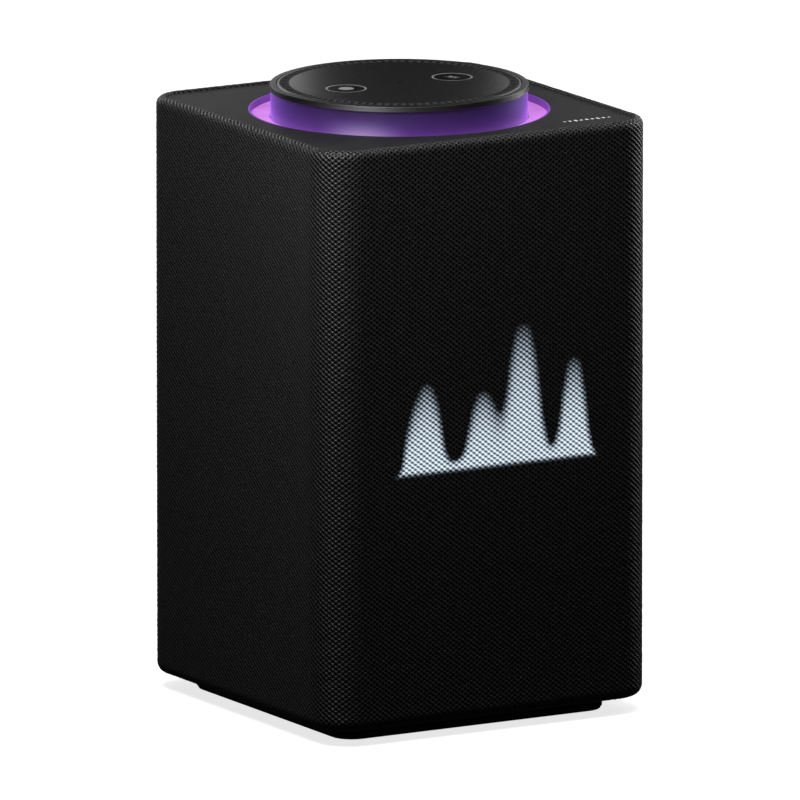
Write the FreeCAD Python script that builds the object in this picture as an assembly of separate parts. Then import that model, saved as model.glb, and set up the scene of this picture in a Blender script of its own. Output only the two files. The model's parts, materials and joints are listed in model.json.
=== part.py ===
"""Tower smart speaker: a square fabric-covered cabinet with a lit volume dial on top.

Frame: millimetres, +Z up, origin at the centre of the footprint on the surface it stands on.
The display and the woofer face -Y. The sockets are at the bottom of the back, facing +Y.
"""

import math
import os

import FreeCAD
import Part

V = FreeCAD.Vector
X_AXIS, Y_AXIS, Z_AXIS = V(1, 0, 0), V(0, 1, 0), V(0, 0, 1)
parts = {}

# ---------------------------------------------------------------- driving dimensions
WIDTH = 141.0  # of the square body, over the fabric
HEIGHT = 234.8  # from the table to the top of the dial
CORNER_R = 15.0  # of the body's upright edges
FABRIC_T = 1.2
FABRIC_BOTTOM = 5.8
FABRIC_TOP = 226.0
RIM_INSET = 3.3  # from the body's side to where the top plate starts
TOP_ROLL_R = 2.8  # of the fabric's upper edge
BOTTOM_ROLL_R = 4.0
FRAME_T = 2.0
BASE_HALF = 58.0
BASE_CORNER_R = 9.0

HALF = WIDTH / 2
FRAME_HALF = HALF - FABRIC_T
FRAME_R = CORNER_R - FABRIC_T
BAY_HALF = FRAME_HALF - FRAME_T  # the space inside the sleeve frame
BAY_R = FRAME_R - FRAME_T

# Top plate and light well
PLATE_TOP = FABRIC_TOP - 0.8
PLATE_T = 2.0
PLATE_GAP = 0.2
WELL_R = 55.8
WELL_DEPTH = 2.8
WELL_FLOOR = PLATE_TOP - WELL_DEPTH
DIFFUSER_T = 1.4
LED_COUNT = 24

# Dial: the ring turns, the disc with the two buttons stays still
DIAL_R = 48.7
DISC_R = 45.7
DISC_T = 1.6
RING_GAP = 0.3
RING_H = 2.2
SKIRT_R = 48.1
SKIRT_T = 1.5
HUB_R = 43.0
HUB_T = 3.0
RUNNING_GAP = 0.05  # radial, between the slide bearing and the turning web
AXIAL_GAP = 0.3
WEB_Z = PLATE_TOP + 0.8  # underside of the web that turns on the slide bearing
WEB_T = 1.5
BEARING_TOP = WEB_Z + WEB_T + AXIAL_GAP
DIAL_BOARD_Z = BEARING_TOP + 0.4
DIAL_BOARD_T = 1.6
SLOT_COUNT = 90
SLOT_R_IN, SLOT_R_OUT, SLOT_W = 41.5, 44.5, 1.6
BUTTON_X = 22.9
BUTTON_R = 6.7
BUTTON_RING_R = 7.75
BUTTON_GAP = 0.3
BUTTON_TRAVEL = 0.4

# Acoustic cabinet and drivers
CAB_HALF = 62.0
CAB_FRONT, CAB_BACK = -54.0, 44.0
CAB_BOTTOM, CAB_TOP = 10.5, 204.0
CAB_WALL = 3.0
BAFFLE_T = 4.0
BAFFLE_FACE = CAB_FRONT - BAFFLE_T
WOOFER_Z, WOOFER_R = 55.5, 44.0
MID_X, MID_Z, MID_R = 20.5, 180.0, 19.5
TWEETER_X, TWEETER_Z, TWEETER_R = 50.0, 187.0, 10.3
RADIATOR_Y, RADIATOR_Z, RADIATOR_R = -6.0, 58.0, 41.0
BASE_SCREWS = [(x, y) for x in (-46, 46) for y in (-38, 30)]

# Dot-matrix display behind the front fabric
LED_PITCH = 3.5
LED_COLUMNS, LED_ROWS = 25, 16
DISPLAY_BOTTOM = 100.8
DISPLAY_W, DISPLAY_H = LED_COLUMNS * LED_PITCH, LED_ROWS * LED_PITCH

# Sockets at the back
PORT_HALF, PORT_BOTTOM, PORT_TOP, PORT_R = 33.0, 13.0, 35.0, 4.0
PORT_FACE_Y = 63.5  # the recessed wall that the sockets come through
PORT_Z = (PORT_BOTTOM + PORT_TOP) / 2
BOARD_Y, BOARD_T = 50.0, 1.6
CABLE_W, CABLE_T = 10.0, 0.3


# ---------------------------------------------------------------- building blocks
def prism(half_x, corner_r, z0, z1, half_y=None):
    """Upright block with a rounded rectangular outline, centred on the Z axis."""
    hx, hy, r = half_x, half_y or half_x, corner_r
    arcs = []
    for k, (sx, sy) in enumerate([(1, 1), (-1, 1), (-1, -1), (1, -1)]):
        centre = V(sx * (hx - r), sy * (hy - r), z0)
        arcs.append(Part.makeCircle(r, centre, Z_AXIS, 90 * k, 90 * k + 90))
    outline = []
    for k, arc in enumerate(arcs):
        following = arcs[(k + 1) % 4]
        outline += [arc, Part.makeLine(arc.Vertexes[-1].Point, following.Vertexes[0].Point)]
    return Part.Face(Part.Wire(outline)).extrude(V(0, 0, z1 - z0))


def box(x0, x1, y0, y1, z0, z1):
    return Part.makeBox(x1 - x0, y1 - y0, z1 - z0, V(x0, y0, z0))


def rod(r, z0, z1, x=0.0, y=0.0):
    return Part.makeCylinder(r, z1 - z0, V(x, y, z0))


def tube(r_in, r_out, z0, z1):
    return rod(r_out, z0, z1).cut(rod(r_in, z0 - 1, z1 + 1))


def revolve(points):
    """Solid of revolution about Z from (radius, height) corners."""
    wire = Part.makePolygon([V(r, 0, z) for r, z in [*points, points[0]]])
    return Part.Face(wire).revolve(V(0, 0, 0), Z_AXIS, 360)


def revolve_wire(edges):
    return Part.Face(Part.Wire(edges)).revolve(V(0, 0, 0), Z_AXIS, 360)


def roll_band(r_mid, half_width, thickness, z):
    """Half-round suspension roll about Z, bulging towards +Z, with two flat lips."""
    lip = 2.0
    out, inn = half_width, half_width - thickness
    base = z + thickness

    def arc(radius):
        top = V(r_mid, 0, z + radius)
        return Part.Arc(V(r_mid - radius, 0, z), top, V(r_mid + radius, 0, z)).toShape()

    def line(r0, z0, r1, z1):
        return Part.makeLine(V(r0, 0, z0), V(r1, 0, z1))

    # The outer arc starts where the lips' upper faces meet it.
    reach = math.sqrt(out**2 - thickness**2)
    outer = [V(r_mid - reach, 0, base), V(r_mid, 0, z + out), V(r_mid + reach, 0, base)]
    edges = [
        arc(inn),
        line(r_mid + inn, z, r_mid + out + lip, z),
        line(r_mid + out + lip, z, r_mid + out + lip, base),
        line(r_mid + out + lip, base, r_mid + reach, base),
        Part.Arc(*outer).toShape(),
        line(r_mid - reach, base, r_mid - out - lip, base),
        line(r_mid - out - lip, base, r_mid - out - lip, z),
        line(r_mid - out - lip, z, r_mid - inn, z),
    ]
    return revolve_wire(Part.__sortEdges__(edges))


def edges_at(shape, z):
    """The horizontal edges of a shape that lie at height z."""
    return [e for e in shape.Edges if max(abs(e.BoundBox.ZMin - z), abs(e.BoundBox.ZMax - z)) < 1e-4]


def around(shape, count, start=0.0):
    """Copies of a shape at even angles about Z."""
    copies = []
    for k in range(count):
        c = shape.copy()
        c.rotate(V(0, 0, 0), Z_AXIS, start + 360.0 * k / count)
        copies.append(c)
    return copies


def facing(shape, axis, degrees, at):
    """Turns a driver built along +Z to face outwards, and moves it to its place."""
    c = shape.copy()
    c.rotate(V(0, 0, 0), axis, degrees)
    c.translate(at)
    return c


def to_front(shape, x, z, y=BAFFLE_FACE):
    return facing(shape, X_AXIS, 90, V(x, y, z))


def to_side(shape, side):
    return facing(shape, Y_AXIS, 90 * side, V(side * CAB_HALF, RADIATOR_Y, RADIATOR_Z))


def drilled(shape, tools):
    return shape.cut(Part.makeCompound(tools))


def put(name, *shapes):
    """Names a node. Several separate solids of the same kind share one node."""
    solids = [s for shape in shapes for s in shape.Solids]
    parts[name] = solids[0] if len(solids) == 1 else Part.makeCompound(solids)


# ---------------------------------------------------------------- sleeve, base and top plate
def filleted_body(half, r, z0, z1, top_r, bottom_r):
    body = prism(half, r, z0, z1)
    body = body.makeFillet(top_r, edges_at(body, z1))
    return body.makeFillet(bottom_r, edges_at(body, z0))


def port_window():
    window = prism(PORT_HALF, PORT_R, 0, 20, (PORT_TOP - PORT_BOTTOM) / 2)
    return facing(window, X_AXIS, -90, V(0, 56, PORT_Z))


def sleeve():
    """The knitted cover, and the rigid grille frame that it is stretched over."""
    frame_block = filleted_body(
        FRAME_HALF,
        FRAME_R,
        FABRIC_BOTTOM + FABRIC_T,
        FABRIC_TOP - FABRIC_T,
        TOP_ROLL_R - FABRIC_T,
        BOTTOM_ROLL_R - FABRIC_T,
    )
    cover = filleted_body(HALF, CORNER_R, FABRIC_BOTTOM, FABRIC_TOP, TOP_ROLL_R, BOTTOM_ROLL_R)
    top_hole = prism(HALF - RIM_INSET, CORNER_R - RIM_INSET, FABRIC_TOP - 5, FABRIC_TOP + 1)
    base_hole = prism(BASE_HALF + 0.6, BASE_CORNER_R + 0.6, 0, 15)
    put("fabric_sleeve", cover.cut(frame_block).cut(top_hole).cut(base_hole).cut(port_window()))

    frame_floor = FABRIC_BOTTOM + FABRIC_T + 2.5
    bay = prism(BAY_HALF, BAY_R, frame_floor, FABRIC_TOP)
    frame = frame_block.cut(bay).cut(base_hole).cut(port_window())
    put("sleeve_frame", drilled(frame, grille_openings()))


def grille_openings():
    """Sound holes in front of each driver, and the window in front of the display."""
    tools = [
        box(
            -DISPLAY_W / 2 - 1.2,
            DISPLAY_W / 2 + 1.2,
            -HALF,
            -BAY_HALF + 2,
            DISPLAY_BOTTOM - 1.0,
            DISPLAY_BOTTOM + DISPLAY_H + 1.0,
        )
    ]
    tools += [to_front(h, 0, WOOFER_Z, -HALF + 6) for h in round_grille(38.0, 5.2, 8.0)]
    for side in (-1, 1):
        for h in round_grille(14.0, 2.4, 5.0):
            tools.append(to_front(h, side * MID_X, MID_Z, -HALF + 6))
        tools.append(to_front(rod(7.0, 0, 8), side * TWEETER_X, TWEETER_Z, -HALF + 6))
        for h in round_grille(34.0, 5.2, 8.0):
            c = facing(h, Y_AXIS, 90 * side, V(side * (HALF - 6), RADIATOR_Y, RADIATOR_Z))
            tools.append(c)
    return tools


def round_grille(reach, hole_d, ring_step):
    """Round holes on concentric rings, one ring every ring_step out to the reach."""
    holes = [rod(hole_d / 2, 0, 8)]
    radius = ring_step
    while radius + hole_d / 2 <= reach:
        count = int(2 * math.pi * radius / ring_step)
        holes += around(rod(hole_d / 2, 0, 8, x=radius), count)
        radius += ring_step
    return holes


def base():
    """The plinth that shows below the fabric, and its rubber foot."""
    foot_t = 1.2
    neck_z, groove_z = 4.2, 2.6
    flare = 1.2
    body = prism(BASE_HALF, BASE_CORNER_R, foot_t, 9.5)
    collar = prism(BASE_HALF + flare - 0.8, BASE_CORNER_R + flare - 0.8, neck_z, 9.5)
    groove = prism(BASE_HALF + 2, BASE_CORNER_R + 2, groove_z, groove_z + 0.5)
    groove = groove.cut(prism(BASE_HALF - 0.5, BASE_CORNER_R - 0.5, 0, 10))
    flange = prism(BAY_HALF - 0.8, BAY_R - 0.8, 9.5, CAB_BOTTOM)
    tray = body.fuse(collar).fuse(flange).cut(groove)
    tray = tray.cut(prism(BASE_HALF - 3, BASE_CORNER_R - 3, 3.4, 20))
    ribs = [box(-BASE_HALF + 3, BASE_HALF - 3, y - 1, y + 1, 3.4, CAB_BOTTOM) for y in (-30, 0, 30)]
    bosses = [rod(4.5, 3.4, CAB_BOTTOM, x, y) for x, y in BASE_SCREWS]
    tray = tray.fuse(Part.makeCompound(ribs + bosses)).removeSplitter()
    screws = []
    for x, y in BASE_SCREWS:
        screws.append(rod(3.0, foot_t, 2.8, x, y).fuse(rod(1.5, 2.8, 17.0, x, y)).removeSplitter())
    put("base_tray", tray)
    foot = prism(BASE_HALF - 0.5, BASE_CORNER_R - 0.5, 0, foot_t)
    put("foot_pad", foot.makeFillet(0.7, edges_at(foot, 0)))
    return screws


def top():
    """The flat plate with the round well, and the lit ring at the bottom of the well."""
    plate_bottom = PLATE_TOP - PLATE_T
    lip = 0.7
    flange_r = WELL_R + 2.7
    plate_half = HALF - RIM_INSET - PLATE_GAP
    plate = prism(plate_half, plate_half - HALF + CORNER_R, plate_bottom, PLATE_TOP)
    plate = plate.cut(rod(WELL_R + lip + 0.05, 0, HEIGHT))
    put("top_plate", plate.makeChamfer(0.25, edges_at(plate, PLATE_TOP)))
    wall = revolve(
        [
            (WELL_R, WELL_FLOOR),
            (flange_r, WELL_FLOOR),
            (flange_r, plate_bottom),
            (WELL_R + lip, plate_bottom),
            (WELL_R + lip, PLATE_TOP - 0.2),
            (WELL_R, PLATE_TOP - 0.2),
        ]
    )
    put("well_wall", wall)
    inner_r = SKIRT_R + 0.5
    under = WELL_FLOOR - DIFFUSER_T
    put("light_diffuser", tube(inner_r, flange_r, under, WELL_FLOOR))
    channel_floor, wall_t = under - 7.0, 1.2
    channel = tube(inner_r + 0.3, flange_r, channel_floor, under)
    hollow = tube(inner_r + 0.3 + wall_t, flange_r - wall_t, channel_floor + wall_t, under + 1)
    put("light_reflector", channel.cut(hollow))
    board_z = channel_floor + wall_t
    put("light_board", tube(inner_r + 1.7, flange_r - wall_t - 0.2, board_z, board_z + 1.2))
    led_r = (inner_r + flange_r) / 2
    led = box(led_r - 1.75, led_r + 1.75, -1.75, 1.75, board_z + 1.2, board_z + 2.7)
    put("light_leds", *around(led, LED_COUNT))
    top_chassis(plate_bottom, flange_r, channel_floor)


def top_chassis(plate_bottom, flange_r, channel_floor):
    """The tray on top of the cabinet that carries the plate, the light ring and the dial's hub."""
    half, r = BAY_HALF - 0.8, BAY_R - 0.8
    floor_top = CAB_TOP + 3.0
    tray = prism(half, r, CAB_TOP, plate_bottom).cut(prism(half - 1.6, r - 1.6, floor_top, HEIGHT))
    ring = tube(flange_r + 0.1, flange_r + 1.7, CAB_TOP, plate_bottom)
    ledge = tube(flange_r - 3.5, flange_r + 1.0, CAB_TOP, channel_floor)
    tray = tray.fuse(ring).fuse(ledge).cut(rod(34.0, 0, HEIGHT)).removeSplitter()
    cable_channel = box(-CABLE_W, CABLE_W, 30, HALF, CAB_TOP, CAB_TOP + 0.8)
    put("top_chassis", tray.cut(cable_channel))


# ---------------------------------------------------------------- dial
def dial():
    skirt_in = SKIRT_R - SKIRT_T
    ring_bottom = HEIGHT - RING_H
    bearing_r = HUB_R + 1.15
    skirt_bottom = WELL_FLOOR - 5.4
    # The crown falls slightly outward, rolls over a small radius and runs down a steep cone.
    roll = [
        V(DIAL_R - 0.7, 0, HEIGHT - 0.1),
        V(DIAL_R - 0.45, 0, HEIGHT - 0.22),
        V(DIAL_R - 0.37, 0, HEIGHT - 0.5),
    ]
    corners = [
        roll[-1],
        V(DIAL_R, 0, ring_bottom + 0.2),
        V(DIAL_R - 0.2, 0, ring_bottom),
        V(skirt_in, 0, ring_bottom),
        V(skirt_in, 0, ring_bottom + 0.6),
        V(DISC_R + RING_GAP, 0, ring_bottom + 0.6),
        V(DISC_R + RING_GAP, 0, HEIGHT),
        roll[0],
    ]
    sides = [Part.makeLine(a, b) for a, b in zip(corners, corners[1:])]
    put("volume_ring", revolve_wire([Part.Arc(*roll).toShape(), *sides]))
    put(
        "volume_skirt",
        revolve(
            [
                (skirt_in, skirt_bottom),
                (SKIRT_R, skirt_bottom),
                (SKIRT_R, ring_bottom),
                (skirt_in, ring_bottom),
                (skirt_in, WEB_Z + WEB_T),
                (bearing_r + RUNNING_GAP, WEB_Z + WEB_T),
                (bearing_r + RUNNING_GAP, WEB_Z),
                (skirt_in, WEB_Z),
            ]
        ),
    )
    put(
        "slide_bearing",
        revolve(
            [
                (HUB_R, WEB_Z - AXIAL_GAP - 1.5),
                (bearing_r + 1.4, WEB_Z - AXIAL_GAP - 1.5),
                (bearing_r + 1.4, WEB_Z - AXIAL_GAP),
                (bearing_r, WEB_Z - AXIAL_GAP),
                (bearing_r, BEARING_TOP),
                (HUB_R, BEARING_TOP),
            ]
        ),
    )
    encoder(skirt_in, skirt_bottom)
    hub()
    disc()


def encoder(skirt_in, skirt_bottom):
    """Windowed ring on the dial, and the fixed light gate that counts its windows."""
    code_bottom = skirt_bottom - 6.0
    code = tube(skirt_in - 1.0, skirt_in, code_bottom, skirt_bottom + 1.5)
    window = box(skirt_in - 2, skirt_in + 1, -0.6, 0.6, code_bottom - 1, code_bottom + 3.5)
    put("code_ring", drilled(code, around(window, 60)))
    floor_z = CAB_TOP + 3.0
    gate = box(-3, 3, HUB_R + 0.4, 48.6, floor_z, floor_z + 7.0)
    put("rotation_sensor", gate.cut(box(-4, 4, 44.9, 47.3, floor_z + 2.5, floor_z + 8)))


def hub():
    """The fixed post inside the dial, which the bearing and the microphone board sit on."""
    post = tube(HUB_R - HUB_T, HUB_R, CAB_TOP + 3.0, DIAL_BOARD_Z)
    foot = tube(HUB_R - HUB_T - 4.0, HUB_R, CAB_TOP + 3.0, CAB_TOP + 5.0)
    put("hub_post", post.fuse(foot).removeSplitter())


def disc():
    """The fixed disc with its sound slots, and what sits under it."""
    under = HEIGHT - DISC_T
    wall_in, wall_out = SLOT_R_OUT + 0.2, DISC_R - 0.2
    cap = revolve(
        [
            (0, under),
            (wall_in, under),
            (wall_in, BEARING_TOP + 1.6),
            (HUB_R + 0.1, BEARING_TOP + 1.6),
            (HUB_R + 0.1, BEARING_TOP),
            (wall_out, BEARING_TOP),
            (wall_out, under),
            (DISC_R, under),
            (DISC_R, HEIGHT - 0.15),
            (DISC_R - 0.15, HEIGHT),
            (0, HEIGHT),
        ]
    )
    slot = prism((SLOT_R_OUT - SLOT_R_IN) / 2, SLOT_W / 2 - 0.01, under - 1, HEIGHT + 1, SLOT_W / 2)
    slot.translate(V((SLOT_R_IN + SLOT_R_OUT) / 2, 0, 0))
    tools = around(slot, SLOT_COUNT) + [rod(0.8, under - 1, HEIGHT + 1)]
    tools += [rod(BUTTON_RING_R, under - 1, HEIGHT + 1, side * BUTTON_X) for side in (-1, 1)]
    put("top_disc", drilled(cap, tools))
    put("acoustic_mesh", tube(SLOT_R_IN - 0.9, SLOT_R_OUT, under - 0.5, under))

    board_top = DIAL_BOARD_Z + DIAL_BOARD_T
    put("mic_board", rod(HUB_R - 0.2, DIAL_BOARD_Z, board_top))
    mic_r, mic_h = 41.0, 1.1
    mic = box(mic_r - 1.5, mic_r + 1.5, -2, 2, board_top, board_top + mic_h)
    centre_mic = box(-1.5, 1.5, -2, 2, board_top, board_top + mic_h)
    chip = box(-5, 5, 12, 22, board_top, board_top + 1.0)
    domes = [rod(4.0, board_top, board_top + 0.7, side * BUTTON_X) for side in (-1, 1)]
    put("mic_board_components", *around(mic, 6, 30), centre_mic, chip, *domes)
    gasket = tube(38.5, 43.5, board_top + mic_h, under - 0.5)
    ports = around(rod(1.0, board_top, under + 1, x=mic_r), 6, 30)
    put("mic_gasket", drilled(gasket, ports))
    buttons(under, board_top + 0.7)


def buttons(under, dome_top):
    face = HEIGHT - 0.05
    inlay_t = 0.3
    rings = []
    for side in (-1, 1):
        ring = rod(BUTTON_RING_R, under, face).cut(rod(BUTTON_R + BUTTON_GAP, 0, HEIGHT + 1))
        ring.translate(V(side * BUTTON_X, 0, 0))
        rings.append(ring)
    put("button_light_rings", *rings)

    flange_top = under - 0.3
    flange_bottom = flange_top - 0.6
    cap = rod(BUTTON_R, flange_bottom, face).fuse(rod(8.2, flange_bottom, flange_top))
    stem = rod(2.0, dome_top + BUTTON_TRAVEL + 0.3, flange_bottom + 0.1)
    cap = cap.fuse(stem).removeSplitter()
    icons = {"action": rod(2.9, face - inlay_t, face), "mute": microphone_icon(face - inlay_t, face)}
    for (name, icon), side in zip(icons.items(), (-1, 1)):
        icon.translate(V(side * BUTTON_X, 0, 0))
        button = cap.copy()
        button.translate(V(side * BUTTON_X, 0, 0))
        put(f"{name}_button", button.cut(icon))
        put(f"{name}_icon", icon)


def microphone_icon(z0, z1):
    """A plain microphone outline with a stroke across it."""
    head = prism(0.75, 0.74, z0, z1, 1.45)
    head.translate(V(0, 0.8, 0))
    cradle = tube(1.35, 1.75, z0, z1).cut(box(-3, 3, 0.3, 3, z0 - 1, z1 + 1))
    stand = box(-0.2, 0.2, -2.7, -1.4, z0, z1).fuse(box(-1.1, 1.1, -2.9, -2.5, z0, z1))
    stroke = box(-3.1, 3.1, -0.22, 0.22, z0, z1)
    stroke.rotate(V(0, 0, 0), Z_AXIS, -45)
    return head.fuse(cradle).fuse(stand).fuse(stroke).removeSplitter()


# ---------------------------------------------------------------- cabinet
def cabinet():
    """The airtight box: a rear tub, a front baffle, the seal between them and the screws."""
    mid_y = (CAB_BACK + CAB_FRONT) / 2
    tub = box(-CAB_HALF, CAB_HALF, CAB_FRONT, CAB_BACK, CAB_BOTTOM, CAB_TOP)
    upright = [e for e in tub.Edges if e.BoundBox.ZLength > 100 and e.BoundBox.YMin > mid_y]
    tub = tub.makeFillet(8.0, upright)
    inner = CAB_HALF - CAB_WALL
    shelf_z = DISPLAY_BOTTOM + DISPLAY_H - 5
    lower = (CAB_BOTTOM + CAB_WALL, shelf_z - CAB_WALL)
    upper = (shelf_z, CAB_TOP - CAB_WALL)
    for z0, z1 in (lower, upper):
        tub = tub.cut(box(-inner, inner, CAB_FRONT - 1, CAB_BACK - CAB_WALL, z0, z1))
    bosses = []
    for x in (-45, 45):
        for z in (20, 124):
            bosses.append(facing(rod(3.0, 0, BOARD_Y - CAB_BACK), X_AXIS, -90, V(x, CAB_BACK, z)))
    bosses += [rod(4.0, CAB_BOTTOM + 1, 18.0, x, y) for x, y in BASE_SCREWS]
    tub = tub.fuse(Part.makeCompound(bosses))
    for side in (-1, 1):
        tub = tub.cut(to_side(rod(RADIATOR_R - 5.8, -CAB_WALL - 1, 1), side))
    seal_w, seal_t = 1.4, 0.8
    seal_half = CAB_HALF - 0.8
    seal_y = CAB_FRONT + seal_t
    seal = box(-seal_half, seal_half, CAB_FRONT, seal_y, CAB_BOTTOM + 0.8, CAB_TOP - 0.8)
    window = box(
        -seal_half + seal_w,
        seal_half - seal_w,
        CAB_FRONT - 1,
        seal_y + 1,
        CAB_BOTTOM + 0.8 + seal_w,
        CAB_TOP - 0.8 - seal_w,
    )
    seal = seal.cut(window)
    put("cabinet_gasket", seal)

    baffle = box(-CAB_HALF, CAB_HALF, BAFFLE_FACE, CAB_FRONT, CAB_BOTTOM, CAB_TOP)
    holes = [to_front(rod(WOOFER_R - 3.8, -10, 5), 0, WOOFER_Z)]
    for side in (-1, 1):
        holes.append(to_front(rod(MID_R - 2.5, -10, 5), side * MID_X, MID_Z))
        holes.append(to_front(rod(TWEETER_R - 1.5, -10, 5), side * TWEETER_X, TWEETER_Z))
    pegs = [to_front(rod(2.2, -0.5, 1.6), x, z) for x in (-40, 40) for z in (106, 151)]
    put("front_baffle", drilled(baffle, holes).fuse(Part.makeCompound(pegs)).removeSplitter())
    return tub.cut(seal)


# ---------------------------------------------------------------- drivers, built facing +Z
def woofer():
    """Full-size cone driver. Height 0 is the baffle's face, and the cone bulges to +Z."""
    rim_in = WOOFER_R - 5.0
    flange_t = 3.0
    top_plate_z = -32.0
    outer = rim_in + 0.9
    basket = revolve(
        [
            (rim_in, 0),
            (rim_in, flange_t),
            (WOOFER_R, flange_t),
            (WOOFER_R, 0),
            (outer, 0),
            (outer, -10.0),
            (29.0, top_plate_z),
            (15.0, top_plate_z),
            (15.0, top_plate_z + 2.0),
            (28.0, top_plate_z + 2.0),
            (rim_in - 1.0, -9.0),
            (rim_in - 1.0, 0),
        ]
    )
    window = box(20, 60, -10, 10, top_plate_z + 4.0, -6.0)
    screw_holes = around(rod(1.7, -1, 5, x=WOOFER_R - 2.4), 4, 45)
    put("woofer_basket", to_front(drilled(basket, around(window, 6) + screw_holes), 0, WOOFER_Z))

    coil_r, pole_r = 12.6, 12.0
    pole_plate = tube(coil_r + 1.1, 27.0, top_plate_z - 4.0, top_plate_z)
    magnet = tube(17.0, 30.0, top_plate_z - 18.0, top_plate_z - 4.0)
    yoke = rod(27.0, top_plate_z - 23.0, top_plate_z - 18.0)
    yoke = yoke.fuse(rod(pole_r, top_plate_z - 18.0, top_plate_z)).removeSplitter()
    put("woofer_motor", *[to_front(s, 0, WOOFER_Z) for s in (pole_plate, magnet, yoke)])

    cone_r, neck_z, edge_z, skin = 29.5, -16.0, -0.8, 0.8
    cone = revolve(
        [
            (coil_r + 0.5, neck_z),
            (cone_r, edge_z),
            (cone_r + 2.0, edge_z),
            (cone_r + 2.0, edge_z + skin),
            (cone_r - 0.4, edge_z + skin),
            (coil_r + 0.5, neck_z + 1.3),
        ]
    )
    cap_z = neck_z + 5.0
    dome = cap_dome(15.5, 5.0, 0.6, cap_z)
    put("woofer_cone", to_front(cone, 0, WOOFER_Z), to_front(dome, 0, WOOFER_Z))
    former = tube(coil_r, coil_r + 0.2, top_plate_z - 7.0, neck_z + 1.3)
    winding = tube(coil_r + 0.2, coil_r + 0.6, top_plate_z - 6.0, top_plate_z + 2.0)
    put("woofer_voice_coil", to_front(former, 0, WOOFER_Z), to_front(winding, 0, WOOFER_Z))
    roll = roll_band(34.4, 3.1, 0.7, edge_z + skin).common(tube(cone_r, rim_in - 0.05, -1, 10))
    pleats = spider(coil_r + 0.6, 27.8, top_plate_z + 6.0)
    put("woofer_suspension", to_front(roll, 0, WOOFER_Z), to_front(pleats, 0, WOOFER_Z))


def cap_dome(r, height, skin, z):
    """Thin spherical dust cap."""
    ball_r = (r**2 + height**2) / (2 * height)
    centre = V(0, 0, z + height - ball_r)
    shell = Part.makeSphere(ball_r, centre).cut(Part.makeSphere(ball_r - skin, centre))
    return shell.common(rod(ball_r + 1, z, z + height + 1))


def spider(r_in, r_out, z):
    """Corrugated centring disc, as a zigzag of equal folds."""
    folds, skin, rise = 5, 0.5, 1.2
    step = (r_out - r_in) / (2 * folds)
    upper = [(r_in + k * step, z + skin + (rise if k % 2 else 0)) for k in range(2 * folds + 1)]
    lower = [(r, h - skin) for r, h in reversed(upper)]
    return revolve(upper + lower)


def small_driver(frame_r, coil_r, depth, cone_depth, roll_mid, roll_half):
    """Frame with its motor, moving cone with its coil, and surround, as separate shapes."""
    cup_r = frame_r - 4.0
    gap_z = -depth + 6.0
    flange = tube(roll_mid + roll_half + 0.3, frame_r, 0, 1.6)
    frame = flange.fuse(tube(cup_r - 1.2, cup_r, gap_z, 0)).removeSplitter()
    cup = rod(cup_r, -depth, gap_z).cut(tube(coil_r - 0.5, coil_r + 0.9, -depth + 2.0, gap_z + 1))
    edge_z = 0.2
    neck_z = -cone_depth
    cone_r = roll_mid - roll_half
    skin = 0.5
    cone = revolve(
        [
            (0, neck_z),
            (coil_r, neck_z),
            (cone_r - 0.6, edge_z),
            (cone_r + 0.2, edge_z),
            (cone_r + 0.2, edge_z + skin),
            (cone_r - 0.9, edge_z + skin),
            (coil_r - 0.3, neck_z + skin),
            (0, neck_z + skin),
        ]
    )
    coil = tube(coil_r - 0.1, coil_r + 0.4, gap_z - 2.5, neck_z)
    cone = cone.fuse(coil).removeSplitter()
    # The roll's flat lips end on the cone's edge and at the frame.
    roll = roll_band(roll_mid, roll_half, 0.4, edge_z + skin)
    roll = roll.common(tube(cone_r - 1.0, roll_mid + roll_half + 0.2, -5, 10))
    return frame, cup, cone, roll


def midranges():
    frame, cup, cone, roll = small_driver(MID_R, 6.5, 20.0, 6.0, 14.5, 1.9)
    bodies, rolls = [], []
    for name, side in (("left", -1), ("right", 1)):
        put(f"midrange_cone_{name}", to_front(cone, side * MID_X, MID_Z))
        bodies += [to_front(frame, side * MID_X, MID_Z), to_front(cup, side * MID_X, MID_Z)]
        rolls.append(to_front(roll, side * MID_X, MID_Z))
    put("midrange_bodies", *bodies)
    put("midrange_surrounds", *rolls)


def tweeters():
    plate = tube(6.6, TWEETER_R, 0, 2.0)
    cup = rod(TWEETER_R - 2.2, -11.0, 0).cut(tube(5.0, 6.4, -6.0, 1))
    dome = cap_dome(5.9, 2.2, 0.25, 0.9).fuse(tube(5.45, 5.9, -3.0, 1.0)).removeSplitter()
    bodies = []
    for name, side in (("left", -1), ("right", 1)):
        put(f"tweeter_dome_{name}", to_front(dome, side * TWEETER_X, TWEETER_Z))
        bodies += [to_front(s, side * TWEETER_X, TWEETER_Z) for s in (plate, cup)]
    put("tweeter_bodies", *bodies)


def radiators():
    """Undriven cones on both sides, which move with the woofer's air."""
    frame = tube(RADIATOR_R - 5.0, RADIATOR_R, 0, 2.0)
    plate = rod(29.0, -1.4, 0).fuse(rod(12.0, -5.4, -1.4)).removeSplitter()
    roll = roll_band(32.5, 2.6, 0.7, 0.0).common(tube(28.0, RADIATOR_R - 5.02, -1, 10))
    frames, rolls = [], []
    for name, side in (("left", -1), ("right", 1)):
        put(f"radiator_plate_{name}", to_side(plate, side))
        frames.append(to_side(frame, side))
        rolls.append(to_side(roll, side))
    put("radiator_frames", *frames)
    put("radiator_surrounds", *rolls)


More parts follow.
